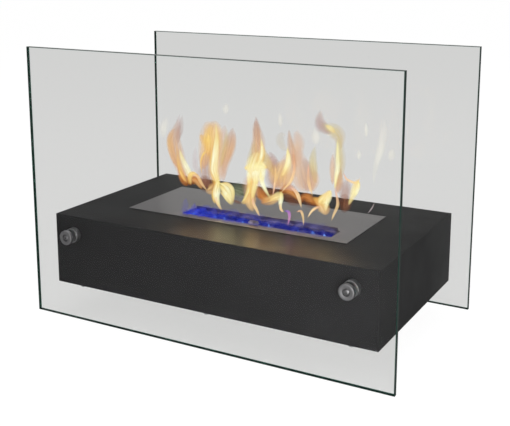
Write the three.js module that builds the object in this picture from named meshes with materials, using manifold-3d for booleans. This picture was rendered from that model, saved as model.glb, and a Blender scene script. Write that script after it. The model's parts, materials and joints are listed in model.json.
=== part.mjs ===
// A table-top bioethanol fireplace: a black sheet-steel case held between two glass panes that are also
// its legs, with a drop-in stainless burner whose slot is opened and closed by a sliding damper.
// Millimetres, +Z up. The origin is on the table, under the middle of the case. The front faces -Y.

import * as THREE from "three";
import { mergeVertices } from "three/addons/utils/BufferGeometryUtils.js";
import Module from "manifold-3d";

const wasm = await Module();
wasm.setup();

// ---- Driving dimensions ----

// Case
const caseWidth = 450;
const caseDepth = 252;
const caseHeight = 93;
const caseLift = 39.5; // open height between the table and the case
const caseSheet = 1.5;
const foldRadius = 1.2; // outer radius of the long folds
const bottomLip = 14; // lip folded in along the bottom of the front and rear walls
const endFlange = 12; // flange folded in round each end panel
const wellLip = 5; // lip folded down round the burner's cut-out

// Glass panes
const paneOverhang = 25; // from each end of the case to the side of the glass
const paneHeight = 350;
const paneThickness = 6;
const paneArris = 0.7; // ground chamfer on every edge of the glass

// Stand-offs that hold the panes
const standoffInset = 31; // from each end of the case to their axis
const standoffDrop = 23.5; // from the top of the case to their axis
const standoffDiameter = 19;
const barrelLength = 8;
const capThickness = 4.8;
const capEdgeRadius = 1.2;
const capRecessGap = 0.7; // round the bolt's head
const boltHeadSink = 0.4; // from the face of the cap to the top of the bolt's head
const gasketDiameter = 17;
const gasketThickness = 0.8;
const paneHoleDiameter = 11;
const bushingWall = 1.8;
const boltDiameter = 4;
const boltTail = 1.5; // bolt left beyond its nut
const boltHeadDiameter = 7.6;
const boltHeadHeight = 2.2;
const socketAcrossFlats = 2.5;
const socketDepth = 1.3;
const washerDiameter = 9;
const washerThickness = 0.8;
const nutAcrossFlats = 7;
const nutHeight = 3.2;

// Bottom cover
const coverSheet = 1.5;
const coverInset = 4; // from the case's sides to the cover's edge
const coverScrewsPerSide = 3;
const coverScrewInset = 35; // from each end of the case to the outermost screws
const screwDiameter = 4;
const screwLength = 6;
const screwHeadDiameter = 8;
const screwHeadTopDiameter = 5.6; // flat of the head, inside its sloping edge
const screwHeadHeight = 2.2;
const screwHeadEdge = 0.9; // straight side of the head

// Burner
const burnerWidth = 314;
const burnerDepth = 126;
const burnerSheet = 0.8;
const burnerSetback = 3.5; // from the middle of the case to the middle of the burner
const burnerSeat = 5; // width of plate that rests on the case round the cut-out
const burnerSideGap = 2; // from the cut-out to the tank
const tankDepth = 60;
const tankSheet = 1;
const vapourDepth = 14; // free height between the plate and the wool
const screenSheet = 0.8;
const screenSlots = 20;
const screenSlotWidth = 5;
const screenSlotMargin = 12; // from the screen's edges to its slots

// Slot in the burner's plate, its stop lug and the damper under it
const slotWidth = 28;
const slotFrontMargin = 13; // from the plate's edges to the slot
const slotLeftMargin = 78;
const slotRightMargin = 26;
const lugWidth = 12;
const lugHeight = 5;
const damperSheet = 1;
const damperLap = 3; // overlap under the plate in front of and behind the slot when closed
const damperEndLap = 8; // overlap under the plate at each end of the slot
const damperLipHeight = 4; // above the plate
const damperLipInset = 3; // from the slot's ends to the lip's ends
const railSheet = 1;
const railFoot = 7; // width of rail under the damper's end

// Clearances
const fitGap = 0.3; // between nested or sliding pieces
const boltGap = 0.25; // round a bolt or screw in its hole
const through = 10; // how far a cut runs past the sheet that it goes through

// Facets
const roundSides = 24;
const boltSides = 12;
const cornerSteps = 3;
const weldTolerance = 1e-4;

// ---- Places worked out from the sizes ----

const caseBottom = caseLift;
const caseTop = caseLift + caseHeight;
const caseFront = -caseDepth / 2;
const caseRear = caseDepth / 2;
const wrapHalfWidth = caseWidth / 2 - caseSheet;
const paneHalfWidth = caseWidth / 2 + paneOverhang;
const paneInnerFace = caseDepth / 2 + barrelLength + gasketThickness;
const paneOuterFace = paneInnerFace + paneThickness;
const capInnerFace = paneOuterFace + gasketThickness;
const capOuterFace = capInnerFace + capThickness;
const standoffX = caseWidth / 2 - standoffInset;
const standoffZ = caseTop - standoffDrop;
const capRecessDepth = boltHeadHeight + boltHeadSink;
const boltHoleRadius = boltDiameter / 2 + boltGap;
const screwHoleRadius = screwDiameter / 2 + boltGap;

const burner = {
  left: -burnerWidth / 2,
  right: burnerWidth / 2,
  front: burnerSetback - burnerDepth / 2,
  rear: burnerSetback + burnerDepth / 2,
  bottom: caseTop,
  top: caseTop + burnerSheet,
};
const well = inset(burner, burnerSeat);
const tank = { ...inset(well, burnerSideGap), top: caseTop, bottom: caseTop - tankDepth };
const tankInside = inset(tank, tankSheet);
const woolTop = tank.top - vapourDepth;
const screenBottom = woolTop + fitGap;
const slot = {
  left: burner.left + slotLeftMargin,
  right: burner.right - slotRightMargin,
  front: burner.front + slotFrontMargin,
  rear: burner.front + slotFrontMargin + slotWidth,
};
const slotMiddle = (slot.left + slot.right) / 2;
const damperTop = caseTop - fitGap;
const damperBottom = damperTop - damperSheet;
const damperLipRear = slot.rear - fitGap;
const damperLipFront = damperLipRear - damperSheet;
const damperTravel = damperLipFront - (slot.front + burnerSheet + fitGap);
const damper = {
  left: slot.left - damperEndLap,
  right: slot.right + damperEndLap,
  front: slot.front - damperLap + damperTravel,
  rear: slot.rear + damperLap + damperTravel,
};

// ---- Solids ----

function inset(area, by) {
  return {
    ...area,
    left: area.left + by,
    right: area.right - by,
    front: area.front + by,
    rear: area.rear - by,
  };
}

function solidOf(geometry) {
  const plain = new THREE.BufferGeometry();
  plain.setAttribute("position", geometry.getAttribute("position"));
  plain.setIndex(geometry.index);
  const merged = mergeVertices(plain, weldTolerance);
  const mesh = new wasm.Mesh({
    numProp: 3,
    vertProperties: merged.getAttribute("position").array,
    triVerts: new Uint32Array(merged.index.array),
  });
  return new wasm.Manifold(mesh);
}

function geometryOf(solid) {
  const mesh = solid.getMesh();
  const indexed = new THREE.BufferGeometry();
  indexed.setAttribute("position", new THREE.BufferAttribute(mesh.vertProperties, mesh.numProp));
  indexed.setIndex(new THREE.BufferAttribute(mesh.triVerts, 1));
  const geometry = indexed.toNonIndexed();
  geometry.computeVertexNormals();
  return geometry;
}

// A box over an area with left, right, front and rear sides, from one height to another.
function slab(area, bottom, top) {
  const width = area.right - area.left;
  const depth = area.rear - area.front;
  const geometry = new THREE.BoxGeometry(width, depth, top - bottom);
  geometry.translate(area.left + width / 2, area.front + depth / 2, (bottom + top) / 2);
  return solidOf(geometry);
}

// A solid of revolution about Y through the origin, from the radius and height pairs of its profile.
function turned(profile, sides) {
  const points = profile.map(([radius, height]) => new THREE.Vector2(radius, height));
  return new THREE.LatheGeometry(points, sides);
}

function ring(innerDiameter, outerDiameter, height, sides) {
  const inner = innerDiameter / 2;
  const outer = outerDiameter / 2;
  const profile = [
    [inner, 0],
    [outer, 0],
    [outer, height],
    [inner, height],
    [inner, 0],
  ];
  return turned(profile, sides);
}

function drillAlongY(x, z, radius, length) {
  const geometry = new THREE.CylinderGeometry(radius, radius, length, roundSides);
  geometry.translate(x, 0, z);
  return solidOf(geometry);
}

function drillAlongZ(x, y, z, radius) {
  const geometry = new THREE.CylinderGeometry(radius, radius, 2 * through, roundSides);
  geometry.rotateX(Math.PI / 2);
  geometry.translate(x, y, z);
  return solidOf(geometry);
}

function roundedRectangle(halfWidth, bottom, top, radius) {
  const shape = new THREE.Shape();
  shape.absarc(halfWidth - radius, bottom + radius, radius, -Math.PI / 2, 0);
  shape.absarc(halfWidth - radius, top - radius, radius, 0, Math.PI / 2);
  shape.absarc(-halfWidth + radius, top - radius, radius, Math.PI / 2, Math.PI);
  shape.absarc(-halfWidth + radius, bottom + radius, radius, Math.PI, 1.5 * Math.PI);
  shape.closePath();
  return shape;
}

// Extrudes a section drawn in Y and Z along X, between two places on X.
function extrudeAlongX(section, from, to) {
  const geometry = new THREE.ExtrudeGeometry(section, {
    depth: to - from,
    bevelEnabled: false,
    curveSegments: cornerSteps,
  });
  const turn = new THREE.Matrix4().makeBasis(
    new THREE.Vector3(0, 1, 0),
    new THREE.Vector3(0, 0, 1),
    new THREE.Vector3(1, 0, 0),
  );
  geometry.applyMatrix4(turn);
  geometry.translate(from, 0, 0);
  return solidOf(geometry);
}

// ---- Finishes ----

const finishes = {
  blackCoat: { color: 0x303032, roughness: 0.55, metalness: 0.1 },
  blackSteel: { color: 0x28282a, roughness: 0.6, metalness: 0.3 },
  glass: { color: 0xdfe9e6, roughness: 0.05, metalness: 0, transparent: true, opacity: 0.3 },
  satinSteel: { color: 0x8f8f92, roughness: 0.4, metalness: 0.8 },
  burnerSteel: { color: 0x6f6e70, roughness: 0.35, metalness: 0.8 },
  zincSteel: { color: 0xa7a9ab, roughness: 0.45, metalness: 0.8 },
  gasket: { color: 0xcfd3d2, roughness: 0.5, metalness: 0 },
  wool: { color: 0xe9e6df, roughness: 1, metalness: 0 },
};

function piece(parent, name, shape, finish) {
  const geometry = shape.isBufferGeometry ? shape : geometryOf(shape);
  const mesh = new THREE.Mesh(geometry, new THREE.MeshStandardMaterial(finishes[finish]));
  mesh.name = name;
  parent.add(mesh);
  return mesh;
}

// ---- Case ----

const standoffSides = [
  { name: "left", x: -standoffX },
  { name: "right", x: standoffX },
];

function coverScrewPlaces() {
  const firstX = coverScrewInset - caseWidth / 2;
  const pitch = (-2 * firstX) / (coverScrewsPerSide - 1);
  const lineY = caseDepth / 2 - caseSheet - bottomLip / 2;
  const places = [];
  for (const [side, y] of [
    ["front", -lineY],
    ["rear", lineY],
  ]) {
    for (let i = 0; i < coverScrewsPerSide; i++) {
      places.push({ name: `${side}_cover_screw_${i + 1}`, x: firstX + i * pitch, y });
    }
  }
  return places;
}

// Front wall, top and rear wall are one folded sheet, with a lip folded in along both bottom edges and
// a collar folded down round the burner's cut-out.
function caseWrap() {
  const section = roundedRectangle(caseRear, caseBottom, caseTop, foldRadius);
  const outside = extrudeAlongX(section, -wrapHalfWidth, wrapHalfWidth);
  const ends = wrapHalfWidth + through;
  const walls = { left: -ends, right: ends, front: caseFront + caseSheet, rear: caseRear - caseSheet };
  const hollow = slab(walls, caseBottom + caseSheet, caseTop - caseSheet);
  const lips = { ...walls, front: walls.front + bottomLip, rear: walls.rear - bottomLip };
  const betweenLips = slab(lips, caseBottom - through, caseBottom + 2 * caseSheet);
  const collarBottom = caseTop - caseSheet - wellLip;
  const collar = slab(inset(well, -caseSheet), collarBottom, caseTop - caseSheet / 2);
  const wellCut = slab(well, collarBottom - through, caseTop + through);
  let solid = outside.subtract(hollow).subtract(betweenLips).add(collar).subtract(wellCut);
  for (const side of standoffSides) {
    solid = solid.subtract(drillAlongY(side.x, standoffZ, boltHoleRadius, caseDepth + 2 * through));
  }
  for (const place of coverScrewPlaces()) {
    solid = solid.subtract(drillAlongZ(place.x, place.y, caseBottom, screwHoleRadius));
  }
  return solid;
}

// An end panel closes the wrap like a lid, and its folded flange lies inside the wrap's walls.
function endPanel(direction) {
  const outer = (caseWidth / 2) * direction;
  const inner = wrapHalfWidth * direction;
  const flangeEdge = (wrapHalfWidth - endFlange) * direction;
  const section = roundedRectangle(caseRear, caseBottom, caseTop, foldRadius);
  const sheet = extrudeAlongX(section, Math.min(outer, inner), Math.max(outer, inner));
  const reach = {
    left: Math.min(inner, flangeEdge),
    right: Math.max(inner, flangeEdge),
    front: caseFront + caseSheet + fitGap,
    rear: caseRear - caseSheet - fitGap,
  };
  const low = caseBottom + caseSheet + fitGap;
  const high = caseTop - caseSheet - fitGap;
  const hollow = {
    left: reach.left - through,
    right: reach.right + through,
    front: reach.front + caseSheet,
    rear: reach.rear - caseSheet,
  };
  const flange = slab(reach, low, high).subtract(slab(hollow, low + caseSheet, high - caseSheet));
  return sheet.add(flange);
}

function bottomCover() {
  const underside = { left: -caseWidth / 2, right: caseWidth / 2, front: caseFront, rear: caseRear };
  let solid = slab(inset(underside, coverInset), caseBottom - coverSheet, caseBottom);
  for (const place of coverScrewPlaces()) {
    solid = solid.subtract(drillAlongZ(place.x, place.y, caseBottom, screwHoleRadius));
  }
  return solid;
}

// A pan-head screw that points up, with the underside of its head at the origin.
function coverScrew() {
  const headRadius = screwHeadDiameter / 2;
  const shankRadius = screwDiameter / 2;
  const profile = [
    [0, -screwHeadHeight],
    [screwHeadTopDiameter / 2, -screwHeadHeight],
    [headRadius, -screwHeadEdge],
    [headRadius, 0],
    [shankRadius, 0],
    [shankRadius, screwLength],
    [0, screwLength],
  ];
  return turned(profile, boltSides).rotateX(Math.PI / 2);
}

function buildCase() {
  const group = new THREE.Group();
  piece(group, "case_wrap", caseWrap(), "blackCoat");
  piece(group, "case_left_end", endPanel(-1), "blackCoat");
  piece(group, "case_right_end", endPanel(1), "blackCoat");
  piece(group, "bottom_cover", bottomCover(), "blackSteel");
  for (const place of coverScrewPlaces()) {
    const screw = piece(group, place.name, coverScrew(), "zincSteel");
    screw.position.set(place.x, place.y, caseBottom - coverSheet);
  }
  return group;
}

// ---- Panes and stand-offs ----

function glassPane() {
  const shape = new THREE.Shape();
  shape.moveTo(-paneHalfWidth, 0);
  shape.lineTo(paneHalfWidth, 0);
  shape.lineTo(paneHalfWidth, paneHeight);
  shape.lineTo(-paneHalfWidth, paneHeight);
  shape.closePath();
  for (const side of standoffSides) {
    const hole = new THREE.Path();
    hole.absarc(side.x, standoffZ, paneHoleDiameter / 2, 0, 2 * Math.PI, true);
    shape.holes.push(hole);
  }
  const geometry = new THREE.ExtrudeGeometry(shape, {
    depth: paneThickness - 2 * paneArris,
    bevelThickness: paneArris,
    bevelSize: paneArris,
    bevelOffset: -paneArris,
    bevelSegments: 1,
    curveSegments: boltSides,
  });
  geometry.rotateX(Math.PI / 2);
  geometry.translate(0, paneThickness - paneArris, 0);
  return geometry;
}

// The cap has a rounded edge and a recess for the bolt's head. Its inner face is at the origin.
function standoffCap() {
  const outer = standoffDiameter / 2;
  const recess = boltHeadDiameter / 2 + capRecessGap;
  const edge = outer - capEdgeRadius;
  const shoulder = capThickness - capEdgeRadius;
  const profile = [
    [boltHoleRadius, 0],
    [outer, 0],
  ];
  for (let i = 0; i <= cornerSteps; i++) {
    const angle = (i / cornerSteps) * (Math.PI / 2);
    profile.push([edge + capEdgeRadius * Math.cos(angle), shoulder + capEdgeRadius * Math.sin(angle)]);
  }
  profile.push([recess, capThickness]);
  profile.push([recess, capThickness - capRecessDepth]);
  profile.push([boltHoleRadius, capThickness - capRecessDepth]);
  profile.push(profile[0]);
  return turned(profile, roundSides);
}

// A button-head bolt that points down, with the underside of its domed head at the origin.
function standoffBolt(length) {
  const headRadius = boltHeadDiameter / 2;
  const shankRadius = boltDiameter / 2;
  const domeSteps = cornerSteps + 1;
  const profile = [
    [0, -length],
    [shankRadius, -length],
    [shankRadius, 0],
    [headRadius, 0],
  ];
  for (let i = 1; i < domeSteps; i++) {
    const angle = (i / domeSteps) * (Math.PI / 2);
    profile.push([headRadius * Math.cos(angle), boltHeadHeight * Math.sin(angle)]);
  }
  profile.push([0, boltHeadHeight]);
  const bolt = solidOf(turned(profile, boltSides));
  const socketRadius = socketAcrossFlats / Math.sqrt(3);
  const socket = new THREE.CylinderGeometry(socketRadius, socketRadius, 2 * socketDepth, 6);
  socket.translate(0, boltHeadHeight, 0);
  return bolt.subtract(solidOf(socket));
}

function hexNut() {
  const cornerRadius = nutAcrossFlats / Math.sqrt(3);
  const nut = new THREE.CylinderGeometry(cornerRadius, cornerRadius, nutHeight, 6);
  const bore = new THREE.CylinderGeometry(boltHoleRadius, boltHoleRadius, 2 * nutHeight, boltSides);
  return solidOf(nut).subtract(solidOf(bore));
}

// The stack of one stand-off, along +Y from the face of the case.
function buildStandoff(prefix) {
  const group = new THREE.Group();
  const fromCase = (y) => y - caseDepth / 2;
  const bore = 2 * boltHoleRadius;

  piece(group, `${prefix}_barrel`, ring(bore, standoffDiameter, barrelLength, roundSides), "satinSteel");

  for (const [name, y] of [
    ["inner_gasket", barrelLength],
    ["outer_gasket", fromCase(paneOuterFace)],
  ]) {
    const gasket = ring(paneHoleDiameter, gasketDiameter, gasketThickness, roundSides);
    piece(group, `${prefix}_${name}`, gasket, "gasket").position.y = y;
  }

  const bushingDiameter = paneHoleDiameter - 2 * fitGap;
  const bushingLength = paneThickness + 2 * gasketThickness - 2 * fitGap;
  const bushing = ring(bushingDiameter - 2 * bushingWall, bushingDiameter, bushingLength, boltSides);
  piece(group, `${prefix}_bushing`, bushing, "gasket").position.y = barrelLength + fitGap;

  piece(group, `${prefix}_cap`, standoffCap(), "satinSteel").position.y = fromCase(capInnerFace);

  const washer = ring(bore, washerDiameter, washerThickness, boltSides);
  piece(group, `${prefix}_washer`, washer, "zincSteel").position.y = -caseSheet - washerThickness;

  const nut = piece(group, `${prefix}_nut`, hexNut(), "zincSteel");
  nut.position.y = -caseSheet - washerThickness - nutHeight / 2;

  const headSeat = fromCase(capOuterFace) - capRecessDepth;
  const boltLength = headSeat + caseSheet + washerThickness + nutHeight + boltTail;
  piece(group, `${prefix}_bolt`, standoffBolt(boltLength), "satinSteel").position.y = headSeat;
  return group;
}

function buildPanes() {
  const group = new THREE.Group();
  piece(group, "front_glass", glassPane(), "glass").position.y = -paneOuterFace;
  piece(group, "rear_glass", glassPane(), "glass").position.y = paneInnerFace;
  for (const side of standoffSides) {
    const rear = buildStandoff(`rear_${side.name}`);
    rear.position.set(side.x, caseRear, standoffZ);
    group.add(rear);
    const front = buildStandoff(`front_${side.name}`);
    front.position.set(side.x, caseFront, standoffZ);
    front.rotation.z = Math.PI;
    group.add(front);
  }
  return group;
}

// ---- Burner ----

// The plate hangs the burner in the case. A lug bent up at the front of the slot stops the damper.
function burnerPlate() {
  const plate = slab(burner, burner.bottom, burner.top);
  const slotCut = slab(slot, burner.bottom - through, burner.top + through);
  const lug = {
    left: slotMiddle - lugWidth / 2,
    right: slotMiddle + lugWidth / 2,
    front: slot.front,
    rear: slot.front + burnerSheet,
  };
  return plate.subtract(slotCut).add(slab(lug, burner.bottom, burner.top + lugHeight));
}

function burnerTank() {
  const outside = slab(tank, tank.bottom, tank.top);
  const inside = slab(tankInside, tank.bottom + tankSheet, tank.top + through);
  return outside.subtract(inside);
}

function wool() {
  return slab(inset(tankInside, fitGap), tank.bottom + tankSheet, woolTop);
}

function woolScreen() {
  const area = inset(tankInside, fitGap);
  const holes = inset(area, screenSlotMargin);
  const pitch = (holes.right - holes.left - screenSlotWidth) / (screenSlots - 1);
  let solid = slab(area, screenBottom, screenBottom + screenSheet);
  for (let i = 0; i < screenSlots; i++) {
    const left = holes.left + i * pitch;
    const hole = { ...holes, left, right: left + screenSlotWidth };
    solid = solid.subtract(slab(hole, screenBottom - through, screenBottom + through));
  }
  return solid;
}

// An angle under the plate that carries one end of the damper and lets it slide.
function damperRail(direction) {
  const end = direction < 0 ? damper.left : damper.right;
  const legInner = end + fitGap * direction;
  const legOuter = legInner + railSheet * direction;
  const footInner = end - railFoot * direction;
  const footTop = damperBottom - fitGap;
  const leg = {
    left: Math.min(legInner, legOuter),
    right: Math.max(legInner, legOuter),
    front: tankInside.front + fitGap,
    rear: damper.rear,
  };
  const foot = { ...leg, left: Math.min(footInner, legOuter), right: Math.max(footInner, legOuter) };
  return slab(leg, footTop - railSheet, caseTop).add(slab(foot, footTop - railSheet, footTop));
}

// The damper is parked behind the slot, and the lip on it stands up through the slot as its pull.
function damperPlate() {
  const lip = {
    left: slot.left + damperLipInset,
    right: slot.right - damperLipInset,
    front: damperLipFront,
    rear: damperLipRear,
  };
  const upright = slab(lip, damperBottom, burner.top + damperLipHeight);
  return slab(damper, damperBottom, damperTop).add(upright);
}

function buildBurner() {
  const group = new THREE.Group();
  piece(group, "burner_plate", burnerPlate(), "burnerSteel");
  piece(group, "burner_tank", burnerTank(), "satinSteel");
  piece(group, "ceramic_wool", wool(), "wool");
  piece(group, "wool_screen", woolScreen(), "satinSteel");
  piece(group, "damper_left_rail", damperRail(-1), "satinSteel");
  piece(group, "damper_right_rail", damperRail(1), "satinSteel");
  piece(group, "damper", damperPlate(), "burnerSteel");
  return group;
}

const fireplace = new THREE.Group();
fireplace.add(buildCase(), buildPanes(), buildBurner());

export default fireplace;
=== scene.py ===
import json
import math
import random

import bmesh
import bpy
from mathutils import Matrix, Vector, noise

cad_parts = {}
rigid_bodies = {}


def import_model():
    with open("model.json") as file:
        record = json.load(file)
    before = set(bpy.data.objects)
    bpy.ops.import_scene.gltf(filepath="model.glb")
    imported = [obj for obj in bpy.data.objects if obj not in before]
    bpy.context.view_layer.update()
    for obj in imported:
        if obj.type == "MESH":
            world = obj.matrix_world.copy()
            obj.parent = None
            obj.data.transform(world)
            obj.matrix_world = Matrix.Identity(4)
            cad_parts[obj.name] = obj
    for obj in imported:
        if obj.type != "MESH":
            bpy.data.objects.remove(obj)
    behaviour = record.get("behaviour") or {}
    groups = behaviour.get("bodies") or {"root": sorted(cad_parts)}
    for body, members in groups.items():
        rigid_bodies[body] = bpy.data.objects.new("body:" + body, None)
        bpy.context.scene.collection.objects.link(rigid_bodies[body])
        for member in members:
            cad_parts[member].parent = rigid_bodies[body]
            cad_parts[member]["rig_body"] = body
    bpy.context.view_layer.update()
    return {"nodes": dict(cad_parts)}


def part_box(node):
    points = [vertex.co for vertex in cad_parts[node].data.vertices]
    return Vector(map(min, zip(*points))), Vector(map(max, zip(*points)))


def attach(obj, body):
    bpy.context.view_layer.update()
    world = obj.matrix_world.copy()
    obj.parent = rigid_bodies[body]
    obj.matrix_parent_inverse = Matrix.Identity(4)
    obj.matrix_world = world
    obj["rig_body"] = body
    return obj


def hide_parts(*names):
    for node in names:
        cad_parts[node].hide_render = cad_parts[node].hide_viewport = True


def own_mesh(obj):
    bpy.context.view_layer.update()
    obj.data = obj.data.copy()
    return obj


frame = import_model()
nodes = frame["nodes"]
mm = 0.001


def srgb(red, green, blue):
    # a colour as a picture shows it, 0 to 255, in Blender's linear values
    def linear(value):
        value /= 255
        return value / 12.92 if value <= 0.04045 else ((value + 0.055) / 1.055) ** 2.4

    return (linear(red), linear(green), linear(blue), 1.0)


def startMaterial(name):
    material = bpy.data.materials.new(name)
    material.use_nodes = True
    material.node_tree.nodes.clear()
    return material, material.node_tree


def addNode(tree, kind, inputs=None, **settings):
    made = tree.nodes.new("ShaderNode" + kind)
    for key, value in settings.items():
        setattr(made, key, value)
    for key, value in (inputs or {}).items():
        if isinstance(value, bpy.types.NodeSocket):
            tree.links.new(value, made.inputs[key])
        else:
            made.inputs[key].default_value = value
    return made


def sums(tree, operation, first, second=0.0):
    return addNode(tree, "Math", {0: first, 1: second}, operation=operation).outputs[0]


def spread(tree, value, low, high, newLow, newHigh):
    inputs = {"Value": value, "From Min": low, "From Max": high, "To Min": newLow, "To Max": newHigh}
    return addNode(tree, "MapRange", inputs).outputs["Result"]


noiseRange = (0.3, 0.7)  # where nearly all values of a noise texture lie


def grains(tree, place, scale, detail, distortion=0.0):
    inputs = {"Vector": place, "Scale": scale, "Detail": detail, "Distortion": distortion}
    return addNode(tree, "TexNoise", inputs).outputs["Fac"]


def ownPlace(tree):
    return addNode(tree, "TexCoord").outputs["Object"]


def painted(tree, name):
    # what is stored at each point of the mesh under a name
    return addNode(tree, "Attribute", attribute_name=name).outputs


def mix(tree, share, first, second):
    return addNode(tree, "MixRGB", {"Fac": share, "Color1": first, "Color2": second}).outputs[0]


def scaled(colour, factor):
    red, green, blue, alpha = colour
    return (red * factor, green * factor, blue * factor, alpha)


def bumps(tree, height, strength, depth):
    inputs = {"Height": height, "Strength": strength, "Distance": depth * mm}
    return addNode(tree, "Bump", inputs).outputs[0]


def outside(tree, value, low, high):
    # how far a value lies outside low to high (mm), below zero inside
    away = sums(tree, "ABSOLUTE", sums(tree, "SUBTRACT", value, (low + high) / 2 * mm))
    return sums(tree, "SUBTRACT", away, (high - low) / 2 * mm)


def showSurface(tree, shader):
    addNode(tree, "OutputMaterial", {"Surface": shader.outputs[0]})


def showSkin(tree, inputs):
    showSurface(tree, addNode(tree, "BsdfPrincipled", inputs))


cameraSettings = {
    "place": (0.5503, -0.9844, 0.4612),
    "turn": 29.15,  # degrees to the left of straight ahead
    "tilt": 11.272,  # degrees down
    "lens": 63.27,
    "shift": -0.153,  # the picture was cut from the lower part of a larger one
}


def setCamera():
    data = bpy.data.cameras.new("camera")
    data.lens = cameraSettings["lens"]
    data.sensor_width = 36
    data.shift_y = cameraSettings["shift"]
    camera = bpy.data.objects.new("camera", data)
    camera.location = cameraSettings["place"]
    tilt = math.radians(90 - cameraSettings["tilt"])
    camera.rotation_euler = (tilt, 0, math.radians(cameraSettings["turn"]))
    bpy.context.scene.collection.objects.link(camera)
    bpy.context.scene.camera = camera


studio = {
    "behindGlass": srgb(207, 207, 206),  # what the pale background looks like through a pane
    "worldLight": 0.5,
    "metalSees": 0.45,  # brightness of the background in metal
    "floorShade": 0.11,  # share of the floor that takes shadow
    "floorGlow": 1.06,
    "floorRadius": 9,
    "floorGrain": 40.0,
    "floorTone": (0.98, 1.0),
    "floorHeight": -0.3,  # mm, a hair below the panes, so that their undersides show and not the floor
    "lampsAim": (0, 0, 0.13),
    "frontLamp": {"place": (0.5, -0.84, 0.2), "size": 0.4, "power": 7},
    "topLamp": {"place": (-0.3, 0.1, 1.9), "size": 1.8, "power": 15},
    "backLamp": {"place": (1.0, 1.4, 1.3), "size": 1.2, "power": 1},
}


def backgroundLight(tree, lit):
    # what a ray finds where nothing stands: the camera white, glass pale grey, metal its own share
    rays = addNode(tree, "LightPath").outputs
    directView = sums(tree, "LESS_THAN", rays["Diffuse Depth"], 0.5)
    glassView = sums(tree, "MULTIPLY", rays["Is Transmission Ray"], directView)
    seen = studio["metalSees"]
    shown = (lit, lit, lit, 1)
    for share, colour in (
        (rays["Is Glossy Ray"], (seen, seen, seen, 1)),
        (glassView, studio["behindGlass"]),
        (rays["Is Camera Ray"], (1, 1, 1, 1)),
    ):
        shown = mix(tree, share, shown, colour)
    return shown


def setWorld():
    world = bpy.data.worlds.new("studio")
    world.use_nodes = True
    tree = world.node_tree
    tree.nodes.clear()
    glow = backgroundLight(tree, studio["worldLight"])
    background = addNode(tree, "Background", {"Color": glow, "Strength": 1.0})
    addNode(tree, "OutputWorld", {"Surface": background.outputs[0]})
    bpy.context.scene.world = world


def buildFloor():
    material, tree = startMaterial("paleFloor")
    share = studio["floorShade"]
    grain = addNode(tree, "TexNoise", {"Scale": studio["floorGrain"], "Detail": 4.0})
    tone = spread(tree, grain.outputs["Fac"], *noiseRange, *studio["floorTone"])
    pale = addNode(tree, "CombineColor", {"Red": tone, "Green": tone, "Blue": tone})
    matt = addNode(tree, "BsdfDiffuse", {"Color": pale.outputs[0]})
    glow = addNode(tree, "Emission", {"Color": backgroundLight(tree, 0.0), "Strength": studio["floorGlow"]})
    both = addNode(tree, "MixShader", {0: 1 - share, 1: matt.outputs[0], 2: glow.outputs[0]})
    showSurface(tree, both)
    mesh = bpy.data.meshes.new("floor")
    work = bmesh.new()
    bmesh.ops.create_circle(work, cap_ends=True, segments=64, radius=studio["floorRadius"])
    work.to_mesh(mesh)
    work.free()
    floor = bpy.data.objects.new("floor", mesh)
    floor.location.z = studio["floorHeight"] * mm
    mesh.materials.append(material)
    bpy.context.scene.collection.objects.link(floor)


def addLamp(name, place, size, power):
    data = bpy.data.lights.new(name, "AREA")
    data.shape = "SQUARE"
    data.size = size
    data.energy = power
    lamp = bpy.data.objects.new(name, data)
    lamp.location = place
    aim = Vector(studio["lampsAim"]) - Vector(place)
    lamp.rotation_euler = aim.to_track_quat("-Z", "Y").to_euler()
    lamp.visible_camera = False
    bpy.context.scene.collection.objects.link(lamp)


bpy.context.scene.view_settings.view_transform = "Standard"
setCamera()
setWorld()
buildFloor()
for lampName in ("frontLamp", "topLamp", "backLamp"):
    addLamp(lampName, **studio[lampName])
print("studio and camera set")


def finishPiece(piece, body, material, nodeName=None):
    piece.data.materials.clear()
    piece.data.materials.append(material)
    piece.data.shade_smooth()
    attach(piece, body)
    if nodeName:
        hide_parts(nodeName)


def addPiece(name, work):
    mesh = bpy.data.meshes.new(name)
    work.to_mesh(mesh)
    work.free()
    piece = bpy.data.objects.new(name, mesh)
    bpy.context.scene.collection.objects.link(piece)
    return piece


def softenEdges(piece, width):
    bevel = piece.modifiers.new("edges", "BEVEL")
    bevel.width = width * mm
    bevel.segments = 3
    bevel.limit_method = "ANGLE"
    bevel.angle_limit = math.radians(40)
    bevel.use_clamp_overlap = False
    piece.modifiers.new("flats", "WEIGHTED_NORMAL").keep_sharp = False


def dressedCopy(nodeName, pieceName, material, edge=0):
    # a piece of its own in the node's shape, with its corners broken as a worker would
    source = nodes[nodeName]
    work = bmesh.new()
    work.from_mesh(source.data)
    bmesh.ops.remove_doubles(work, verts=work.verts, dist=0.01 * mm)
    bmesh.ops.dissolve_limit(work, angle_limit=math.radians(1), verts=work.verts, edges=work.edges)
    piece = addPiece(pieceName, work)
    finishPiece(piece, source["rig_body"], material, nodeName)
    if edge:
        softenEdges(piece, edge)
    return piece


def dressAll(pieces, ending):
    for name, (material, edge) in pieces.items():
        dressedCopy(name, name + ending, material, edge)


def closeTube(work, rings):
    # a closed tube through rings of equally many points
    for lower, upper in zip(rings, rings[1:]):
        for step in range(len(lower)):
            following = (step + 1) % len(lower)
            work.faces.new((lower[step], lower[following], upper[following], upper[step]))
    work.faces.new(rings[0])
    work.faces.new(rings[-1])


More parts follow.
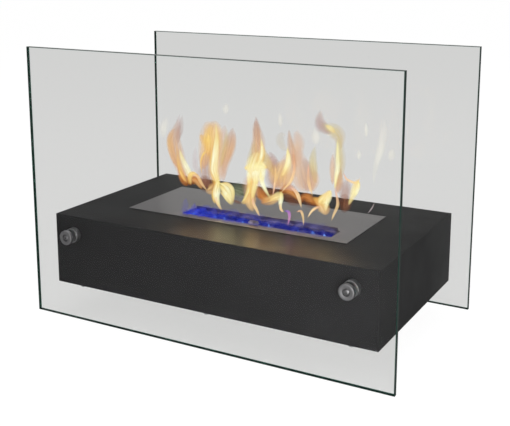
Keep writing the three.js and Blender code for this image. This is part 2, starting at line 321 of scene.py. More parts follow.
def turnedShape(profile, centre, outward, steps=96):
    # spins radius and height pairs (mm) about Y; outward is -1 at the front and 1 at the rear
    work = bmesh.new()
    ringLayer = work.verts.layers.float.new("ring")
    loops = []
    for radius, height in profile:
        loop = []
        for step in range(steps if radius > 0 else 1):
            angle = outward * 2 * math.pi * step / steps
            place = (radius * math.cos(angle), outward * height, radius * math.sin(angle))
            vertex = work.verts.new((Vector(place) + Vector(centre)) * mm)
            vertex[ringLayer] = radius
            loop.append(vertex)
        loops.append(loop)
    for inner, outer in zip(loops, loops[1:]):
        for step in range(steps):
            following = (step + 1) % steps
            corners = [
                inner[step % len(inner)],
                inner[following % len(inner)],
                outer[following % len(outer)],
                outer[step % len(outer)],
            ]
            work.faces.new(list(dict.fromkeys(corners)))
    bmesh.ops.remove_doubles(work, verts=work.verts, dist=0.001 * mm)
    bmesh.ops.recalc_face_normals(work, faces=work.faces)
    return work


coat = {
    "colour": (0.0112, 0.0112, 0.0115, 1),
    "roughness": (0.40, 0.47),
    "shine": 0.045,
    "cornerHighlight": (0.026, 0.026, 0.026, 1),  # painted highlight: the case's corners painted paler, for the light their folds catch
    "cornerHighlightWidth": 1.1,
    "cornerHighlightFull": 0.25,  # share of that width where the painted highlight is full
    "cornerHighlightShare": (0.15, 0.8),
    "cloudScale": 14.0,  # slow changes in gloss from place to place
    "peelSize": 0.8,  # mm from one hump of the powder to the next
    "peelDepth": 0.005,
    # painted highlight: how much paler the tops of the peel's humps are painted
    "humpTopsPaintedLit": 1.18,
}
# the bottom cover's coat: rougher, and painted darker as shade under the case
underCoat = {**coat, "colour": (0.009, 0.009, 0.0093, 1), "roughness": (0.5, 0.6)}
caseBox = {"X": (-225, 225), "Y": (-126, 126), "Z": (39.5, 132.5)}


def cornerHighlightMask(tree, place, look):
    # where the painted highlight lies: 1 on the corners of the case and 0 from its width away
    axes = addNode(tree, "SeparateXYZ", {0: place}).outputs
    x, y, z = [outside(tree, axes[axis], low, high) for axis, (low, high) in caseBox.items()]
    pairs = [sums(tree, "MINIMUM", *pair) for pair in ((x, y), (y, z), (x, z))]
    nearest = sums(tree, "MAXIMUM", sums(tree, "MAXIMUM", pairs[0], pairs[1]), pairs[2])
    width = look["cornerHighlightWidth"] * mm
    return spread(tree, nearest, -width, -look["cornerHighlightFull"] * width, 0.0, 1.0)


def powderCoat(name, look):
    material, tree = startMaterial(name)
    place = ownPlace(tree)
    peel = grains(tree, place, 1 / (look["peelSize"] * mm), 3.0)
    cloud = grains(tree, place, look["cloudScale"], 4.0)
    # the raised humps painted paler than the hollows: a painted highlight on their tops
    tone = mix(tree, peel, look["colour"], scaled(look["colour"], look["humpTopsPaintedLit"]))
    # the corners painted paler, in patches: a painted highlight
    highlighted = spread(tree, cloud, 0.4, 0.62, *look["cornerHighlightShare"])
    highlighted = sums(tree, "MULTIPLY", highlighted, cornerHighlightMask(tree, place, look))
    skin = {
        "Base Color": mix(tree, highlighted, tone, look["cornerHighlight"]),
        "Roughness": spread(tree, cloud, 0.35, 0.65, *look["roughness"]),
        "Specular IOR Level": look["shine"],
        "Normal": bumps(tree, peel, 0.35, look["peelDepth"]),
    }
    showSkin(tree, skin)
    return material


plateSteel = {
    "colour": (0.200, 0.190, 0.191, 1),
    "roughness": (0.30, 0.42),
    "grain": (9.0, 900.0, 900.0),  # brush lines run along X
    "flameGlow": (0.235, 0.205, 0.215, 1),  # painted glow: the plate painted paler and warmer round the slot, for the flames' light on it
    "flameGlowWidth": 15,
    "flameGlowShare": 0.7,
}
plainSteel = {"colour": (0.30, 0.30, 0.305, 1), "roughness": (0.28, 0.4), "grain": (12.0, 700.0, 700.0)}
zincPlate = {"colour": (0.36, 0.37, 0.38, 1), "roughness": (0.35, 0.5), "grain": (260.0, 260.0, 260.0)}


def steelSkin(tree, look, tone, lines, depth=0.006):
    skin = {
        "Base Color": tone,
        "Metallic": 1.0,
        "Roughness": spread(tree, lines, *noiseRange, *look["roughness"]),
        "Normal": bumps(tree, lines, 0.4, depth),
    }
    showSkin(tree, skin)


def slotDistance(tree, place):
    # how far a point lies from the burner's slot, in metres
    axes = addNode(tree, "SeparateXYZ", {0: place}).outputs
    along = outside(tree, axes[0], slotBox["left"], slotBox["right"])
    across = outside(tree, axes[1], slotBox["front"], slotBox["rear"])
    parts = [sums(tree, "MAXIMUM", part, 0.0) for part in (along, across)]
    squares = [sums(tree, "MULTIPLY", part, part) for part in parts]
    return sums(tree, "SQRT", sums(tree, "ADD", *squares))


def brushedSteel(name, look, lineTone=0.84):
    material, tree = startMaterial(name)
    place = ownPlace(tree)
    stretched = addNode(tree, "Mapping", {"Vector": place, "Scale": look["grain"]}).outputs[0]
    lines = grains(tree, stretched, 1.0, 5.0)
    tone = mix(tree, lines, scaled(look["colour"], lineTone), look["colour"])
    # a painted glow round the slot, for the light the flames throw on the plate
    if "flameGlow" in look:
        width = look["flameGlowWidth"] * mm
        glowMask = spread(tree, slotDistance(tree, place), 0.0, width, look["flameGlowShare"], 0.0)
        tone = mix(tree, glowMask, tone, look["flameGlow"])
    steelSkin(tree, look, tone, lines)
    return material


turnedSteel = {"colour": (0.215, 0.213, 0.216, 1), "roughness": (0.46, 0.58)}


def turnedFinish(name, look, lineTone=0.8, ringScale=9.0):
    # fine rings left by the lathe, read from each point's own radius
    material, tree = startMaterial(name)
    ring = sums(tree, "MULTIPLY", painted(tree, "ring")["Fac"], ringScale)
    place = addNode(tree, "CombineXYZ", {"X": ring}).outputs[0]
    lines = grains(tree, place, 1.0, 3.0)
    tone = mix(tree, lines, scaled(look["colour"], lineTone), look["colour"])
    steelSkin(tree, look, tone, lines, 0.004)
    return material


# the gaskets are clear plastic; their near-black colour is painted shade in the gaps round the stand-offs
gasketPlastic = {"colour": (0.036, 0.038, 0.038, 1), "roughness": (0.45, 0.6), "haze": 600.0, "paler": 1.1}


def softPlastic(name, look):
    material, tree = startMaterial(name)
    haze = grains(tree, ownPlace(tree), look["haze"], 2.0)
    skin = {
        "Base Color": mix(tree, haze, look["colour"], scaled(look["colour"], look["paler"])),
        "Roughness": spread(tree, haze, *noiseRange, *look["roughness"]),
        "Subsurface Weight": 0.2,
        "Subsurface Scale": 1 * mm,
    }
    showSkin(tree, skin)
    return material


ceramicWool = {
    "pale": (0.78, 0.76, 0.70, 1),
    "shaded": (0.44, 0.42, 0.38, 1),
    "tangle": 120.0,
    "fibre": 26.0,
    "depth": 0.8,
}


def woolFibre(name, look):
    material, tree = startMaterial(name)
    tangle = {"Vector": ownPlace(tree), "Scale": look["tangle"], "Detail": 3.0, "Distortion": 2.0}
    tangled = addNode(tree, "TexNoise", tangle).outputs["Color"]
    fibre = grains(tree, tangled, look["fibre"], 6.0)
    skin = {
        "Base Color": mix(tree, fibre, look["shaded"], look["pale"]),
        "Roughness": 0.95,
        "Sheen Weight": 0.3,
        "Normal": bumps(tree, fibre, 0.8, look["depth"]),
    }
    showSkin(tree, skin)
    return material


slotBox = {"left": -79, "right": 131, "front": -46.5, "rear": -18.5, "plateTop": 133.3}

coatFinish = powderCoat("blackPowderCoat", coat)
underFinish = powderCoat("mattUnderside", underCoat)
plateFinish = brushedSteel("steelWithPaintedFlameGlow", plateSteel)
steelFinish = brushedSteel("brushedSteel", plainSteel)
zincFinish = brushedSteel("zincPlate", zincPlate)
turnedFinishSteel = turnedFinish("turnedSteel", turnedSteel)
gasketFinish = softPlastic("softPlasticInPaintedShade", gasketPlastic)
woolFinish = woolFibre("ceramicFibre", ceramicWool)
print("finishes made")


# each piece's finish and how much of its edges is broken
casePieces = {
    "case_wrap": (coatFinish, 0.3),
    "case_left_end": (coatFinish, 0.25),
    "case_right_end": (coatFinish, 0.25),
    "bottom_cover": (underFinish, 0.25),
}
coverScrews = [f"{side}_cover_screw_{number}" for side in ("front", "rear") for number in (1, 2, 3)]

dressAll(casePieces, "_coated")
dressAll({screw: (zincFinish, 0.15) for screw in coverScrews}, "_plated")
print("case built")


glassLook = {
    "clear": (0.994, 0.997, 0.995, 1),
    "bend": 1.1,  # kept low, so that the panes mirror as little as they do in a dim room
    "edge": (0.004, 0.015, 0.011, 1),
    "edgeLight": (0.010, 0.030, 0.022, 1),
    "arris": (0.014, 0.034, 0.027, 1),
    "edgeShine": 0.04,  # the sides and bottom are ground matt
    "topShine": 0.35,  # the top edge is polished, as fingers meet it
    "edgeReflection": (0.90, 0.985, 0.955, 1),  # painted reflection: the green of the edge, mirrored in the clear glass near the pane's edges
    "edgeReflectionWidth": 2.6,
    "grind": 420.0,
    "drift": 6.0,
    "roughness": (0.1, 0.2),
}
paneBox = {"x": 250, "bottom": 0, "top": 350, "near": 2}  # near: how close the faces of an edge lie to it


def clearGlass():
    material, tree = startMaterial("clearGlass")
    axes = addNode(tree, "SeparateXYZ", {0: ownPlace(tree)}).outputs
    across = outside(tree, axes[0], -paneBox["x"], paneBox["x"])
    upright = outside(tree, axes[2], paneBox["bottom"], paneBox["top"])
    nearest = sums(tree, "MAXIMUM", across, upright)
    # a painted reflection of the green edges, tinting the clear glass near them
    reflectedEdgeShare = spread(tree, nearest, -glassLook["edgeReflectionWidth"] * mm, 0.0, 0.0, 1.0)
    tone = mix(tree, reflectedEdgeShare, glassLook["clear"], glassLook["edgeReflection"])
    solid = {"Base Color": tone, "Roughness": 0.0, "Transmission Weight": 1.0, "IOR": glassLook["bend"]}
    body = addNode(tree, "BsdfPrincipled", solid)
    gap = addNode(tree, "BsdfTransparent", {"Color": glassLook["clear"]})
    shadow = addNode(tree, "LightPath").outputs["Is Shadow Ray"]
    both = addNode(tree, "MixShader", {0: shadow, 1: body.outputs[0], 2: gap.outputs[0]})
    showSurface(tree, both)
    return material


def groundGlass(name, dark, light, shine):
    material, tree = startMaterial(name)
    place = ownPlace(tree)
    grind = grains(tree, place, glassLook["grind"], 3.0)
    drift = grains(tree, place, glassLook["drift"], 2.0)
    both = sums(tree, "MULTIPLY", sums(tree, "ADD", grind, drift), 0.5)
    skin = {
        "Base Color": mix(tree, both, dark, light),
        "Roughness": spread(tree, grind, *noiseRange, *glassLook["roughness"]),
        "Specular IOR Level": shine,
    }
    showSkin(tree, skin)
    return material


def buildPane(nodeName, pieceName, materials):
    # the materials are those of the clear faces, the edges, their arrises and the top edge
    piece = dressedCopy(nodeName, pieceName, materials[0])
    for material in materials[1:]:
        piece.data.materials.append(material)
    near = paneBox["near"]
    for face in piece.data.polygons:
        flatness = abs(face.normal.y)
        x, y, z = face.center / mm
        onTop = z > paneBox["top"] - near
        onBorder = abs(x) > paneBox["x"] - near or z < paneBox["bottom"] + near
        if flatness < 0.99 and onTop:
            face.material_index = 3
        elif flatness < 0.99 and onBorder:
            face.material_index = 2 if flatness > 0.3 else 1
    piece.data.shade_flat()


paneFinishes = [
    clearGlass(),
    groundGlass("greenGlassEdge", glassLook["edge"], glassLook["edgeLight"], glassLook["edgeShine"]),
    groundGlass("glassArris", glassLook["edgeLight"], glassLook["arris"], glassLook["edgeShine"]),
    groundGlass("glassTopEdge", glassLook["edge"], glassLook["edgeLight"], glassLook["topShine"]),
]
buildPane("front_glass", "front_glass_clear", paneFinishes)
buildPane("rear_glass", "rear_glass_clear", paneFinishes)
print("glass built")


standoff = {
    "x": 194,
    "z": 109,
    "radius": 9.5,
    "barrel": (126, 134),
    "cap": (141.6, 146.4),
    "capEdge": 1.2,
    "break": 0.3,
    "barrelBreak": 0.4,
    "faceStep": (1.9, 0.06),  # how far round the recess the face is turned down, and how deep
    "ramp": 0.15,
    "lipArc": ((0.3, 0.06), (0.08, 0.14), (0, 0.34)),  # out from the recess and down from the face
    "recess": 4.5,
    "recessFloor": 143.8,
    "bore": 2.25,
    "boltHead": 3.8,
    "boltDome": 2.2,
    "domeSteps": 9,
    "shank": 2.0,
    "shankEnd": 119,
    "socket": 2.5,
    "socketDepth": 1.3,
}


def rounded(radius, height, size, steps):
    # an outer corner of a turned profile, from its side to its face
    corner = []
    for step in range(steps + 1):
        angle = math.pi / 2 * step / steps
        corner.append((radius - size + size * math.cos(angle), height - size + size * math.sin(angle)))
    return corner


def capProfile():
    low, high = standoff["cap"]
    radius, bore, lip = standoff["radius"], standoff["bore"], standoff["recess"]
    floor, ramp, small = standoff["recessFloor"], standoff["ramp"], standoff["break"]
    reach, depth = standoff["faceStep"]
    profile = [(bore, low), (radius - small, low), (radius, low + small)]
    profile += rounded(radius, high, standoff["capEdge"], 7)
    profile += [(lip + reach, high), (lip + reach - ramp, high - depth)]
    profile += [(lip + out, high - down) for out, down in standoff["lipArc"]]
    profile += [(lip, floor + ramp), (lip - ramp, floor), (bore, floor), (bore, low)]
    return profile


def barrelProfile():
    low, high = standoff["barrel"]
    radius, bore, small = standoff["radius"], standoff["bore"], standoff["barrelBreak"]
    profile = [(bore, low), (radius - small, low), (radius, low + small)]
    profile += [(radius, high - small), (radius - small, high), (bore, high), (bore, low)]
    return profile


def boltProfile():
    seat, head, dome = standoff["recessFloor"], standoff["boltHead"], standoff["boltDome"]
    shank, end, small = standoff["shank"], standoff["shankEnd"], standoff["break"]
    steps = standoff["domeSteps"]
    profile = [(0, end), (shank - small, end), (shank, end + small), (shank, seat)]
    profile += [(head, seat), (head, seat + small)]
    for step in range(1, steps):
        angle = math.pi / 2 * step / steps
        profile.append((head * math.cos(angle), seat + small + (dome - small) * math.sin(angle)))
    profile.append((0, seat + dome))
    return profile


def cutSocket(bolt, centre, outward):
    top = standoff["recessFloor"] + standoff["boltDome"]
    bottom = top - standoff["socketDepth"]
    reach = standoff["socket"] / math.sqrt(3)
    work = bmesh.new()
    rings = []
    for height in (bottom, top + 1):
        ring = []
        for corner in range(6):
            angle = math.pi / 3 * corner + math.pi / 6
            place = (reach * math.cos(angle), outward * height, reach * math.sin(angle))
            ring.append(work.verts.new((Vector(place) + Vector(centre)) * mm))
        rings.append(ring)
    closeTube(work, rings)
    bmesh.ops.recalc_face_normals(work, faces=work.faces)
    cutter = addPiece("socketCutter", work)
    cut = bolt.modifiers.new("socket", "BOOLEAN")
    cut.operation = "DIFFERENCE"
    cut.object = cutter
    view = bpy.context.evaluated_depsgraph_get()
    shaped = bpy.data.meshes.new_from_object(bolt.evaluated_get(view))
    bolt.modifiers.clear()
    bolt.data = shaped
    bpy.data.objects.remove(cutter)


turnedParts = {"barrel": barrelProfile(), "cap": capProfile(), "bolt": boltProfile()}
# parts that are shown as their own solids
plainParts = {
    "inner_gasket": gasketFinish,
    "outer_gasket": gasketFinish,
    "bushing": gasketFinish,
    "washer": zincFinish,
    "nut": zincFinish,
}


def buildStandoff(prefix, centre, outward):
    for part, profile in turnedParts.items():
        piece = addPiece(prefix + part + "_turned", turnedShape(profile, centre, outward))
        if part == "bolt":
            cutSocket(piece, centre, outward)
        finishPiece(piece, "root", turnedFinishSteel, prefix + part)
        piece.data.set_sharp_from_angle(angle=math.radians(35))
    for part, material in plainParts.items():
        carried = nodes[prefix + part]
        carried.data.materials.clear()
        carried.data.materials.append(material)


for facing, outward in (("front", -1), ("rear", 1)):
    for side, x in (("left", -standoff["x"]), ("right", standoff["x"])):
        buildStandoff(f"{facing}_{side}_", (x, 0, standoff["z"]), outward)
print("stand-offs turned")


burnerPieces = {
    "burner_plate": (plateFinish, 0.2),
    "burner_tank": (steelFinish, 0.3),
    "wool_screen": (steelFinish, 0.12),
    "damper": (plateFinish, 0.15),
    "damper_left_rail": (steelFinish, 0.15),
    "damper_right_rail": (steelFinish, 0.15),
}
woolBlock = {"rise": 1.6, "cells": (92, 34), "sizes": (38.0, 140.0), "slice": 3.1, "contrast": 1.6}


def buildWool():
    low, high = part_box("ceramic_wool")
    cellsX, cellsY = woolBlock["cells"]
    work = bmesh.new()
    tops = []
    bottoms = []
    for row in range(cellsY + 1):
        tops.append([])
        bottoms.append([])
        for column in range(cellsX + 1):
            x = low.x + (high.x - low.x) * column / cellsX
            y = low.y + (high.y - low.y) * row / cellsY
            lumps = 0
            for size in woolBlock["sizes"]:
                lumps += noise.noise((x * size, y * size, woolBlock["slice"])) / 2
            lumps = max(-1, min(1, woolBlock["contrast"] * lumps))
            z = high.z - woolBlock["rise"] * mm * (0.5 - 0.5 * lumps)
            tops[row].append(work.verts.new((x, y, z)))
            bottoms[row].append(work.verts.new((x, y, low.z)))
    for row in range(cellsY):
        for column in range(cellsX):
            for sheet in (tops, bottoms):
                near = sheet[row][column : column + 2]
                far = sheet[row + 1][column : column + 2]
                work.faces.new((near[0], near[1], far[1], far[0]))
    outline = [(0, c) for c in range(cellsX)] + [(r, cellsX) for r in range(cellsY)]
    outline += [(cellsY, c) for c in range(cellsX, 0, -1)] + [(r, 0) for r in range(cellsY, 0, -1)]
    for here, there in zip(outline, outline[1:] + outline[:1]):
        corners = (tops[here[0]][here[1]], tops[there[0]][there[1]])
        corners += (bottoms[there[0]][there[1]], bottoms[here[0]][here[1]])
        work.faces.new(corners)
    bmesh.ops.recalc_face_normals(work, faces=work.faces)
    piece = addPiece("ceramic_wool_fibres", work)
    finishPiece(piece, "burner", woolFinish, "ceramic_wool")
    piece.data.set_sharp_from_angle(angle=math.radians(60))


dressAll(burnerPieces, "_brushed")
buildWool()
print("burner built")


# each look: colour at the root, in the middle and at the tip, how solid it is there, and its
# thickness as a share of its width
flameLooks = {
    "white": [(255, 232, 128), (255, 255, 216), (255, 242, 156), (0.8, 1.0, 0.75), 0.5],
    "cream": [(250, 208, 122), (254, 240, 172), (250, 222, 140), (0.65, 0.95, 0.6), 0.5],
    "gold": [(236, 168, 74), (248, 208, 108), (242, 200, 122), (0.6, 0.9, 0.6), 0.5],
    "amber": [(218, 138, 58), (234, 190, 118), (226, 182, 128), (0.5, 0.85, 0.65), 0.4],
    "orange": [(150, 76, 24), (208, 128, 58), (224, 158, 84), (0.55, 0.85, 0.5), 0.4],
    "tan": [(212, 144, 84), (214, 164, 118), (190, 156, 138), (0.5, 0.8, 0.6), 0.4],
    "thread": [(238, 172, 150), (254, 216, 156), (248, 214, 160), (0.6, 0.95, 0.85), 0.9],
    "peach": [(222, 160, 104), (224, 180, 138), (212, 178, 160), (0.4, 0.6, 0.4), 0.35],
    "mauve": [(164, 104, 80), (174, 136, 122), (188, 164, 158), (0.4, 0.6, 0.4), 0.35],
    "olive": [(206, 166, 82), (212, 190, 122), (204, 196, 158), (0.4, 0.65, 0.45), 0.4],
    "haze": [(204, 190, 160), (206, 198, 182), (204, 196, 186), (0.3, 0.5, 0.35), 0.4],
    "wisp": [(190, 166, 160), (196, 178, 180), (202, 190, 190), (0.2, 0.4, 0.25), 0.5],
    "ember": [(84, 42, 20), (120, 66, 38), (96, 56, 36), (0.35, 0.6, 0.35), 0.4],
    "sage": [(96, 104, 80), (122, 130, 102), (88, 92, 72), (0.5, 0.75, 0.5), 0.4],
    "paneReflection": [(236, 232, 216), (240, 236, 220), (232, 228, 218), (0.15, 0.4, 0.15), 0.5],
    "violet": [(120, 84, 208), (196, 128, 202), (226, 160, 190), (0.6, 0.95, 0.6), 0.9],
    # near-black navy sheets: painted shade of the slot's inside, tinted blue by the flames
    "blueOverSlotShade": [(8, 12, 88), (7, 11, 74), (12, 14, 84), (0.95, 0.95, 0.95), 0.4],
    "blue": [(30, 52, 215), (20, 32, 150), (36, 40, 150), (0.85, 0.5, 0.5), 0.4],
    "blueHaze": [(48, 56, 205), (84, 82, 168), (98, 94, 158), (0.5, 0.32, 0.42), 0.5],
    "lavender": [(138, 128, 160), (156, 142, 170), (138, 128, 160), (0.4, 0.6, 0.4), 0.3],
    "blueSpot": [(50, 100, 255), (110, 165, 255), (60, 96, 245), (0.8, 1.0, 0.5), 0.8],
}
faintLooks = ("peach", "mauve", "olive", "haze", "wisp", "ember", "sage")

